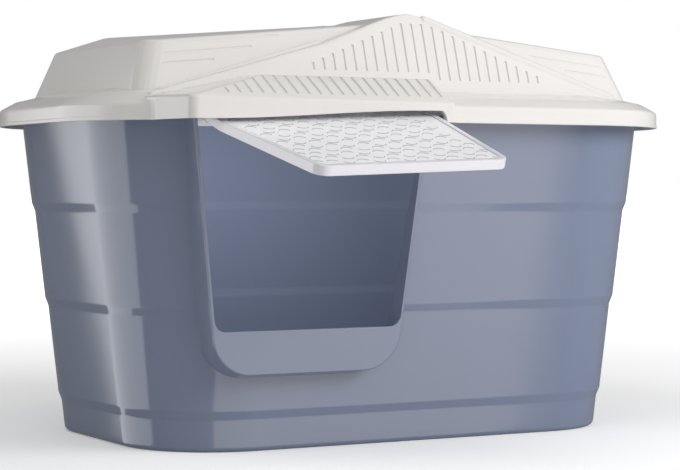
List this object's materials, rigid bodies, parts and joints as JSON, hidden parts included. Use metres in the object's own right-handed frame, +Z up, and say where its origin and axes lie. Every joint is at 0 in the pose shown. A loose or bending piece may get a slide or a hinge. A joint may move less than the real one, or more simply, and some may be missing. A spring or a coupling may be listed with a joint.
{
  "type": "covered litter box",
  "caption": "Covered cat litter box: a drafted tub with a raised front entry, a lift-off gabled lid and a swing flap hung under the lid's hood.",
  "frame": {"origin": "centre of the tub's flat base, on the surface it stands on", "axes": "+X to the right across the front, +Y to the back, +Z up; the entry faces -Y"},
  "size_m": [0.56, 0.5166, 0.3555],
  "materials": {
    "tub_plastic": "glossy blue-grey moulded polypropylene",
    "lid_plastic": "glossy ivory-white moulded polypropylene",
    "clear_plastic": "milky clear moulded plastic",
    "panel_plastic": "white frosted sheet with small dark printed arcs"
  },
  "bodies": {
    "tub_body": {"tub": "tub_plastic"},
    "lid_body": {"lid": "lid_plastic", "hinge_bracket_left": "lid_plastic", "hinge_bracket_right": "lid_plastic"},
    "flap_body": {"flap_frame": "clear_plastic", "flap_panel": "panel_plastic", "hinge_pin_left": "clear_plastic", "hinge_pin_right": "clear_plastic"}
  },
  "joints": [
    {"name": "lid_lift", "type": "slide", "parent": "tub_body", "child": "lid_body", "axis": [0, 0, 1], "range_m": [0, 0.2]},
    {"name": "flap_swing", "type": "hinge", "parent": "lid_body", "child": "flap_body", "pos_m": [-0.1095, -0.166, 0.2694], "axis": [1, 0, 0], "range_deg": [-1, 140]}
  ]
}
